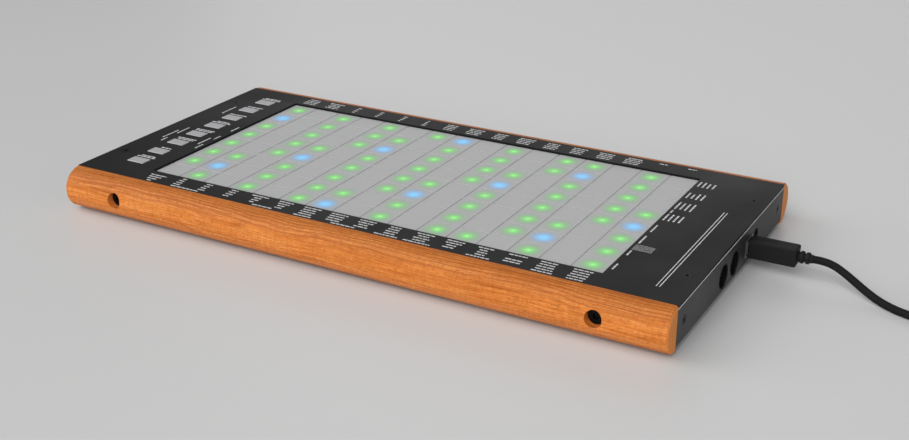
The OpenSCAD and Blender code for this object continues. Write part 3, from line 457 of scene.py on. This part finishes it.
def box_mesh(low, high):
    """bmesh block between two corners."""
    mesh = bmesh.new()
    bmesh.ops.create_cube(mesh, size=1.0)
    bmesh.ops.scale(mesh, vec=high - low, verts=mesh.verts)
    bmesh.ops.translate(mesh, vec=(low + high) / 2, verts=mesh.verts)
    return mesh


# Soft boxes round the table: degrees to the right of the front, degrees up, and watts
LAMPS = {"front_box": (12, 30, 342.0), "left_box": (292, 30, 177.0), "right_box": (80, 9, 84.0),
         "top_box": (342, 60, 132.0), "back_box": (200, 17, 45.0)}
# Metres from the object to a lamp, metres across a lamp, and the grey of the world
LAMP_AWAY, LAMP_SIZE, WORLD = 6.0, 4.5, 0.14
# Half the floor's side in metres, and how far it lies under the feet
FLOOR_HALF, FLOOR_DROP = 8.0, 0.1 * MM
# Solved from the corners of the pads: place in metres, turn in degrees, lens in millimetres
CAMERA_AT, CAMERA_TURN, CAMERA_LENS = (0.3805, -0.6413, 0.3190), (66.594, 0.059, 29.2186), 51.03


class CONTROLLER_OT_stage(bpy.types.Operator):
    """Makes the floor, the light and the camera"""
    bl_idname = "controller.stage"
    bl_label = "Stage"

    def execute(self, context):
        colours = context.scene.controller_colours
        mesh = bmesh.new()
        bmesh.ops.create_grid(mesh, x_segments=1, y_segments=1, size=FLOOR_HALF)
        bmesh.ops.translate(mesh, vec=(0, 0, -FLOOR_DROP), verts=mesh.verts)
        data = bpy.data.meshes.new("floor")
        mesh.to_mesh(data)
        mesh.free()
        floor = bpy.data.objects.new("floor", data)
        context.scene.collection.objects.link(floor)
        # Satin board: a broken, faint reflection of what stands on it
        board = finish("satin_board", Base_Color=colours.floor, Roughness=0.4,
                       Specular_IOR_Level=0.65)[0]
        data.materials.append(board)

        world = bpy.data.worlds.new("studio")
        world.use_nodes = True
        world.node_tree.nodes["Background"].inputs["Color"].default_value = (WORLD, WORLD, WORLD, 1.0)
        context.scene.world = world
        context.scene.view_settings.view_transform = "Standard"
        for name, (turn, rise, watts) in LAMPS.items():
            turn, rise = math.radians(turn), math.radians(rise)
            place = LAMP_AWAY * Vector((
                math.sin(turn) * math.cos(rise), -math.cos(turn) * math.cos(rise), math.sin(rise)))
            lamp = bpy.data.lights.new(name, "AREA")
            lamp.size = LAMP_SIZE
            lamp.energy = watts
            box = bpy.data.objects.new(name, lamp)
            box.location = place
            box.rotation_euler = place.to_track_quat("Z", "Y").to_euler()
            context.scene.collection.objects.link(box)
            # The brightest lamp stays out of reflections: the satin floor would show it as a white patch
            box.visible_glossy = name != "front_box"

        view = bpy.data.cameras.new("camera")
        view.sensor_width = 36.0
        view.lens = CAMERA_LENS
        view.clip_start = 0.05
        camera = bpy.data.objects.new("camera", view)
        camera.location = CAMERA_AT
        camera.rotation_euler = [math.radians(a) for a in CAMERA_TURN]
        context.scene.collection.objects.link(camera)
        context.scene.camera = camera
        return {"FINISHED"}


# Route of the lead in millimetres: from the strain relief to the coil, and on from where it leaves the
# coil to the far plug
LEAD_ROUTE = (
    (237.0, 25.4, 12.6), (242.0, 25.4, 12.6), (248.0, 24.4, 12.0), (255.0, 21.6, 10.2),
    (262.0, 18.1, 7.8), (269.0, 14.5, 5.4), (277.0, 10.5, 3.3), (285.0, 6.8, 2.4),
    (293.0, 3.7, 2.3), (303.0, 0.6, 2.6), (314.0, -2.2, 3.2), (325.0, -4.7, 3.2))
TAIL_ROUTE = ((0, 5, 0), (0, 11, -0.7), (0, 17, -2.4), (0, 23, -3.8), (0, 29, -4.1), (0, 35, -4.1))
COIL_ACROSS, COIL_LOOPS, COIL_GAP, COIL_RINGS = 52.8, 7, 0.5, 24
# Turns that the cord takes to climb to the coil's upper layer
COIL_CLIMB = 0.5
TIE_ANGLE, TIE_WIDTH, TIE_THICK, TIE_GAP, TIE_CORNER = -55.0, 6.0, 0.7, 0.3, 1.8


def coil_sizes(thick):
    """Start angle, turns, turns in a layer, outer and inner radius, pitch and centre of the coil."""
    before, last = Vector(LEAD_ROUTE[-2]), Vector(LEAD_ROUTE[-1])
    way = (last - before).normalized()
    start = math.degrees(math.atan2(way.y, way.x)) - 90
    pitch = thick + COIL_GAP
    turns = COIL_LOOPS - start / 360
    layer = (turns - COIL_CLIMB) / 2
    outer = COIL_ACROSS / 2 + layer * pitch / 2
    inner = COIL_ACROSS / 2 - layer * pitch / 2
    entry = last + thick * way
    angle = math.radians(start)
    centre = entry - outer * Vector((math.cos(angle), math.sin(angle), 0))
    return start, turns, layer, outer, inner, pitch, centre


def lead_line(thick):
    """Centreline of the whole lead in millimetres: free run, coil of two layers, tail."""
    start, turns, layer, outer, inner, pitch, centre = coil_sizes(thick)
    line = [Vector(p) for p in LEAD_ROUTE]
    steps = math.ceil(COIL_RINGS * turns)
    for i in range(steps + 1):
        n = turns * i / steps
        climb = min(max((n - layer) / COIL_CLIMB, 0), 1)
        if n < layer:
            radius = outer - pitch * n
        elif n > layer + COIL_CLIMB:
            radius = inner + pitch * (n - layer - COIL_CLIMB)
        else:
            radius = inner - pitch * min(n - layer, layer + COIL_CLIMB - n)
        angle = math.radians(start + 360 * n)
        rise = pitch * climb * climb * (3 - 2 * climb)
        line.append(centre + Vector((radius * math.cos(angle), radius * math.sin(angle), rise)))
    leaves = line[-1] + Vector((0, thick, 0))
    line.append(leaves)
    line += [leaves + Vector(p) for p in TAIL_ROUTE]
    return line


class CONTROLLER_OT_lead(bpy.types.Operator):
    """Makes the USB lead with its coil and tie"""
    bl_idname = "controller.lead"
    bl_label = "USB lead"

    def execute(self, context):
        sizes = context.scene.controller_sizes
        jacket = cable_jacket(context.scene.controller_colours)
        thick = sizes.cable / MM
        line = lead_line(thick)
        data = bpy.data.curves.new("usb_lead_cable", "CURVE")
        data.dimensions = "3D"
        data.bevel_depth = sizes.cable / 2
        data.bevel_resolution = 4
        data.resolution_u = 5
        data.use_fill_caps = True
        spline = data.splines.new("BEZIER")
        spline.bezier_points.add(len(line) - 1)
        for point, at in zip(spline.bezier_points, line):
            point.co = at * MM
            point.handle_left_type = point.handle_right_type = "AUTO"
        data.materials.append(jacket)
        cable = bpy.data.objects.new("usb_lead_cable", data)
        context.scene.collection.objects.link(cable)
        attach(cable, "usb_lead")
        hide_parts("usb_cable", "cable_coil", "cable_tail")

        tie = self.tie(thick)
        return {"FINISHED"}

    def tie(self, thick):
        """Hook-and-loop strap: a band with rounded corners round the coil's turns."""
        *_, outer, inner, pitch, centre = coil_sizes(thick)
        bow = TIE_WIDTH ** 2 / (8 * inner)
        near = inner - thick / 2 - TIE_GAP - bow
        far = outer + thick / 2 + TIE_GAP
        low = -thick / 2 - TIE_GAP
        high = pitch + thick / 2 + TIE_GAP
        mesh = bmesh.new()
        corners = [mesh.verts.new((x, -TIE_WIDTH / 2, z))
                   for x, z in ((near, low), (far, low), (far, high), (near, high))]
        for a, b in zip(corners, corners[1:] + corners[:1]):
            mesh.edges.new((a, b))
        bmesh.ops.bevel(mesh, geom=corners, offset=TIE_CORNER, segments=5, profile=0.5,
                        affect="VERTICES", material=-1)
        strip = bmesh.ops.extrude_edge_only(mesh, edges=list(mesh.edges))
        moved = [v for v in strip["geom"] if isinstance(v, bmesh.types.BMVert)]
        bmesh.ops.translate(mesh, vec=(0, TIE_WIDTH, 0), verts=moved)
        bmesh.ops.recalc_face_normals(mesh, faces=mesh.faces)
        bmesh.ops.solidify(mesh, geom=list(mesh.faces), thickness=-TIE_THICK)
        bmesh.ops.recalc_face_normals(mesh, faces=mesh.faces)
        bmesh.ops.rotate(mesh, matrix=Matrix.Rotation(math.radians(TIE_ANGLE), 3, "Z"), verts=mesh.verts)
        bmesh.ops.translate(mesh, vec=centre, verts=mesh.verts)
        bmesh.ops.scale(mesh, vec=(MM, MM, MM), verts=mesh.verts)
        strap = shared("hook_and_loop_strap", lambda: surface(
            "hook_and_loop_strap", linear("#232325"), 0.85, 0.5, tone=0.3, bump_mm=0.12))
        return piece("cable_strap", mesh, strap, "usb_lead", ["cable_tie"])


# Where a plug's grip is cut, as shares of its length from the collar: in front of the thumb recess, the
# middle of the recess and behind the recess
GRIP_STEP, GRIP_MIDDLE, GRIP_END = 0.07, 0.335, 0.60
THUMB_BORDER, THUMB_SLOPE, THUMB_DEPTH = 1.2 * MM, 0.5 * MM, 0.6 * MM
RELIEF_EDGE, FOOT_EDGE = 0.3 * MM, 0.5 * MM


class CONTROLLER_OT_plugs(bpy.types.Operator):
    """Makes the moulded grips and strain reliefs of both plugs"""
    bl_idname = "controller.plugs"
    bl_label = "Plugs"

    def execute(self, context):
        sizes = context.scene.controller_sizes
        grip = plug_grip(context.scene.controller_colours)
        self.grip("usb_grip", "usb_plug_grip", sizes, grip, 0, 1)
        self.grip("far_grip", "far_plug_grip", sizes, grip, 1, -1)
        for name, node in (("usb_relief", "usb_plug_boot"), ("far_relief", "far_plug_boot")):
            piece(name, softened(node, RELIEF_EDGE), grip, "usb_lead", [node])
        dress(nickel_plate(), "usb_plug_shell", "far_plug_shell")
        return {"FINISHED"}

    def grip(self, name, node, sizes, grip, along, way):
        """Block with rounded edges and a thumb recess above and below, between two cuts across it."""
        low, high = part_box(node)
        mesh = box_mesh(low, high)
        span = high[along] - low[along]
        front = low[along] if way > 0 else high[along]
        normal = Vector((0, 0, 0))
        normal[along] = 1.0
        for share in (GRIP_STEP, GRIP_END):
            at = Vector((0, 0, 0))
            at[along] = front + way * share * span
            bmesh.ops.bisect_plane(mesh, geom=mesh.verts[:] + mesh.edges[:] + mesh.faces[:],
                                   plane_co=at, plane_no=normal)
        long_edges = [e for e in mesh.edges
                      if e.is_manifold and e.calc_face_angle(0.0) > math.radians(60)]
        bmesh.ops.bevel(mesh, geom=long_edges, offset=sizes.moulded_edge, segments=4, profile=0.5,
                        affect="EDGES", material=-1, clamp_overlap=True)
        middle = front + way * GRIP_MIDDLE * span
        thumb = [f for f in mesh.faces if abs(f.normal.z) > 0.99
                 and abs(f.calc_center_median()[along] - middle) < 0.1 * span]
        bmesh.ops.inset_region(mesh, faces=thumb, thickness=THUMB_BORDER, depth=0.0,
                               use_even_offset=True)
        bmesh.ops.inset_region(mesh, faces=thumb, thickness=THUMB_SLOPE, depth=-THUMB_DEPTH,
                               use_even_offset=True)
        return piece(name, mesh, grip, "usb_lead", [node])


class CONTROLLER_OT_case(bpy.types.Operator):
    """Finishes the cover, the end plates, the tray and the feet"""
    bl_idname = "controller.case"
    bl_label = "Case"

    def execute(self, context):
        sizes = context.scene.controller_sizes
        colours = context.scene.controller_colours
        coat = powder_coat("powder_coated_steel", colours, 0.18, False)
        piece("panel_cover", softened("top_cover", sizes.panel_edge), coat, "case",
              ["top_cover"])
        dress(coat, "bottom_tray")
        dress(powder_coat("powder_coated_plate", colours, 0.9, True),
              "left_end_plate", "right_end_plate")
        rubber = surface("foot_rubber", linear("#1a1a1a"), 0.8, 0.6, tone=0.2, bump_mm=0.05)
        piece("rubber_feet", softened("feet", FOOT_EDGE, 3), rubber, "case", ["feet"])
        dress(black_oxide(), "rail_screws", "cover_screws", "end_screws")
        return {"FINISHED"}


class CONTROLLER_OT_rails(bpy.types.Operator):
    """Makes the half-round wooden rails"""
    bl_idname = "controller.rails"
    bl_label = "Rails"

    def execute(self, context):
        wood = oiled_wood(context.scene.controller_colours)
        width = context.scene.controller_sizes.wood_edge
        for side in ("front", "back"):
            node = f"{side}_rail"
            # The long edges and the ends; the short facets of the bores stay as they are
            shape = softened(node, width, 3, only=lambda e: e.calc_length() > 10 * MM
                             or abs(e.verts[0].co.x) > 0.97 * PANEL_X)
            piece(f"{side}_wood", shape, wood, "case", [node])
        return {"FINISHED"}


class CONTROLLER_OT_surface(bpy.types.Operator):
    """Makes the lit playing surface"""
    bl_idname = "controller.surface"
    bl_label = "Playing surface"

    def execute(self, context):
        sizes = context.scene.controller_sizes
        silicone = lit_silicone(sizes, context.scene.controller_colours)
        piece("pad_sheet", softened("playing_surface", sizes.pad_edge), silicone, "playing_surface",
              ["playing_surface"])
        return {"FINISHED"}


class CONTROLLER_OT_buttons(bpy.types.Operator):
    """Makes the control buttons"""
    bl_idname = "controller.buttons"
    bl_label = "Buttons"

    def execute(self, context):
        silicone = button_silicone(context.scene.controller_colours)
        width = context.scene.controller_sizes.button_edge
        for i, node in enumerate(BUTTONS, 1):
            piece(f"button_cap_{i}", softened(node, width, 3), silicone, node, [node])
        return {"FINISHED"}


# All the sizes of the print are in millimetres. Lines before the front edge for each column, as widths,
# nearest the pads first
FRONT_LEGENDS = (
    (0, 12, 10, 8), (4, 5, 5, 5), (5, 5, 5, 5), (5, 5, 5, 5), (12, 5, 5, 4), (10, 8, 5, 5),
    (12, 10, 10, 9), (12, 11, 10, 9), (11, 10, 6, 9), (8, 8, 8, 7), (11, 7, 10, 8), (11, 10, 6, 8),
    (10, 6, 6, 6), (11, 0, 10, 10), (11, 10, 11, 10), (11, 10, 10, 11))
# Last line, nearest the rail, as (x, width)
FOOT_LEGENDS = (
    (-143.0, 4), (-115.0, 22), (-57.2, 14), (-28.6, 12), (-0.6, 16), (27.9, 15), (47.8, 17),
    (85.9, 14), (123.8, 12), (142.9, 10))
# Lines behind the back edge for each column: how many, and how wide
BACK_LEGENDS = (
    (4, 11), (4, 12), (4, 3), (4, 3), (4, 3), (4, 3), (4, 9), (4, 12),
    (4, 9), (4, 12), (4, 10), (4, 11), (4, 12), (4, 12), (1, 6), (1, 6))
# Blocks of four lines beside the rows at the right, as (from y, to y)
ROW_LEGENDS = ((62.4, 71.7), (42.4, 51.7), (23.0, 34.9), (4.2, 14.9))
ROW_MARKS = ((16.7, 21.0), (-14.5, -4.0), (-32.0, -21.0), (-49.5, -43.0), (-69.5, -62.0))
# Marks beside the buttons, as (x, from y, to y)
BUTTON_MARKS = (
    (-155.3, 5.5, 14.2), (-155.3, -12.6, -5.8), (-155.3, -32.0, -24.0), (-158.7, -25.0, -12.0),
    (-184.8, 33.0, 48.6), (-184.8, -15.0, -1.4), (-184.8, -31.4, -25.0), (-188.0, -25.7, -10.0))
# Lines of the label behind each button, as widths
BUTTON_LABELS = ((15, 11), (8,), (13, 15), (14, 15), (16, 10), (15,), (13,), (16, 13))
# Where these start: y of the first line at the front and at the back, x of the lines at the right, and
# the labels' x, distance behind a button's middle, line pitch and height of bar
FRONT_Y, BACK_Y, ROW_XS = -78.7, 88.4, (155.0, 158.0, 161.0, 164.1)
LABEL_X, LABEL_BEHIND, LABEL_LINE, LABEL_TALL = -171.4, 6.2, 2.05, 1.2
# Small plain table beside the rows: x, first y, row pitch, rows, and a row's length and width
TABLE_X, TABLE_Y, TABLE_PITCH, TABLE_ROWS, TABLE_BAR = 160.0, -41.0, 1.1, 7, (11.5, 0.16)
# Two plain rules along the right side: x of each, y, and their width and length
RULE_XS, RULE_Y, RULE_BAR = (182.2, 184.1), -22.5, (0.5, 109.0)
# Shortest and longest bar of a line, the gap between two and what is too short to print
BAR_SHORT, BAR_LONG, BAR_GAP, BAR_LEAST = 1.2, 4.0, 0.5, 0.8


class CONTROLLER_OT_legends(bpy.types.Operator):
    """Prints plain bars where a panel has its legends"""
    bl_idname = "controller.legends"
    bl_label = "Legends"

    def execute(self, context):
        self.sizes = context.scene.controller_sizes
        self.mesh = bmesh.new()
        self.draw = random.Random(5)
        pitch = self.sizes.pad_pitch / MM
        line = self.sizes.legend_line / MM
        for i, widths in enumerate(FRONT_LEGENDS):
            x = (i - (COLUMNS - 1) / 2) * pitch
            for k, wide in enumerate(widths):
                self.words(x, FRONT_Y - k * line, wide, False)
        for x, wide in FOOT_LEGENDS:
            self.words(x, FRONT_Y - 4 * line, wide, False)
        for i, (count, wide) in enumerate(BACK_LEGENDS):
            x = (i - (COLUMNS - 1) / 2) * pitch
            for k in range(count):
                self.words(x, BACK_Y - k * line, wide * self.draw.uniform(0.75, 1.0), False)
        for y0, y1 in ROW_LEGENDS:
            for x in ROW_XS:
                self.words((y0 + y1) / 2, x, (y1 - y0) * self.draw.uniform(0.8, 1.0), True)
        for y0, y1 in ROW_MARKS:
            self.words((y0 + y1) / 2, ROW_XS[0], y1 - y0, True)
        for x, y0, y1 in BUTTON_MARKS:
            self.words((y0 + y1) / 2, x, y1 - y0, True)
        for j, lines in enumerate(BUTTON_LABELS):
            y = (j - (ROWS - 1) / 2) * pitch + LABEL_BEHIND
            for k, wide in enumerate(lines):
                self.words(LABEL_X, y + k * LABEL_LINE, wide, False, LABEL_TALL)
        for k in range(TABLE_ROWS):
            self.bar(TABLE_X, TABLE_Y + k * TABLE_PITCH, *TABLE_BAR)
        for x in RULE_XS:
            self.bar(x, RULE_Y, *RULE_BAR)
        ink = surface("screen_print", context.scene.controller_colours.legend, 0.55, 0.6, tone=0.06)
        piece("panel_legends", self.mesh, ink, "case")
        return {"FINISHED"}

    def bar(self, x, y, long, wide):
        """Flat bar of ink on the panel, centred at x, y in millimetres."""
        thick = self.sizes.ink
        at = Matrix.Translation((x * MM, y * MM, PANEL_Z + thick / 2))
        bmesh.ops.create_cube(self.mesh, size=1.0, matrix=at @ Matrix.Diagonal(
            (long * MM, wide * MM, thick, 1.0)))

    def words(self, middle, across, wide, turned, tall=1.0):
        """Line broken into bars of uneven length, along X or, turned, along Y."""
        at = middle - wide / 2
        end = middle + wide / 2
        while at < end - BAR_LEAST:
            step = min(self.draw.uniform(BAR_SHORT, BAR_LONG), end - at)
            if turned:
                self.bar(across, at + step / 2, tall, step)
            else:
                self.bar(at + step / 2, across, step, tall)
            at += step + BAR_GAP


class CONTROLLER_OT_sockets(bpy.types.Operator):
    """Finishes the sockets on the right end"""
    bl_idname = "controller.sockets"
    bl_label = "Sockets"

    def execute(self, context):
        dress(moulded_black(), "midi_in_socket", "midi_out_socket", "usb_socket_core", "power_jack")
        dress(nickel_plate(), "usb_socket_shell", "power_pin")
        return {"FINISHED"}


class CONTROLLER_OT_inside(bpy.types.Operator):
    """Finishes the boards and what holds them"""
    bl_idname = "controller.inside"
    bl_label = "Inside"

    def execute(self, context):
        dress(zinc_plate(), "rail_nuts", "cover_pillars", "board_pillars", "board_screws",
              "main_standoffs", "main_screws", "button_domes")
        dress(solder_mask(), "sensor_board", "main_board")
        dress(moulded_black(), "main_chips")
        nylon = surface("natural_nylon", linear("#e2dfd4"), 0.5, 0.6, tone=0.04)
        dress(nylon, "board_props", "link_sockets", "far_plug_tongue")
        dress(button_silicone(context.scene.controller_colours), "keypad_web")
        film = surface("printed_polyester_film", linear("#d6cfb4"), 0.4, 1.5, tone=0.06)
        dress(film, "pressure_film", "link_cable")
        dress(surface("lamp_resin", linear("#ece9dc"), 0.2, 0.6, tone=0.03), "pad_lamps")
        return {"FINISHED"}


STEPS = (
    CONTROLLER_OT_stage, CONTROLLER_OT_lead, CONTROLLER_OT_plugs, CONTROLLER_OT_case,
    CONTROLLER_OT_rails, CONTROLLER_OT_surface, CONTROLLER_OT_buttons, CONTROLLER_OT_legends,
    CONTROLLER_OT_sockets, CONTROLLER_OT_inside)


class CONTROLLER_PT_sidebar(bpy.types.Panel):
    """Lists the steps, the sizes and the colours"""
    bl_label = "Grid controller"
    bl_space_type = "VIEW_3D"
    bl_region_type = "UI"
    bl_category = "Controller"

    def draw(self, context):
        for step in STEPS:
            self.layout.operator(step.bl_idname)
        for group in (context.scene.controller_sizes, context.scene.controller_colours):
            for name in group.__annotations__:
                self.layout.prop(group, name)


CLASSES = (ControllerSizes, ControllerColours, *STEPS, CONTROLLER_PT_sidebar)


def register():
    for made in CLASSES:
        bpy.utils.register_class(made)
    bpy.types.Scene.controller_sizes = bpy.props.PointerProperty(type=ControllerSizes)
    bpy.types.Scene.controller_colours = bpy.props.PointerProperty(type=ControllerColours)


def unregister():
    del bpy.types.Scene.controller_colours
    del bpy.types.Scene.controller_sizes
    for made in reversed(CLASSES):
        bpy.utils.unregister_class(made)


def main():
    register()
    bpy.ops.controller.stage()
    bpy.ops.controller.lead()
    bpy.ops.controller.plugs()
    bpy.ops.controller.case()
    bpy.ops.controller.rails()
    bpy.ops.controller.surface()
    bpy.ops.controller.buttons()
    bpy.ops.controller.legends()
    bpy.ops.controller.sockets()
    bpy.ops.controller.inside()


if __name__ == "__main__":
    main()
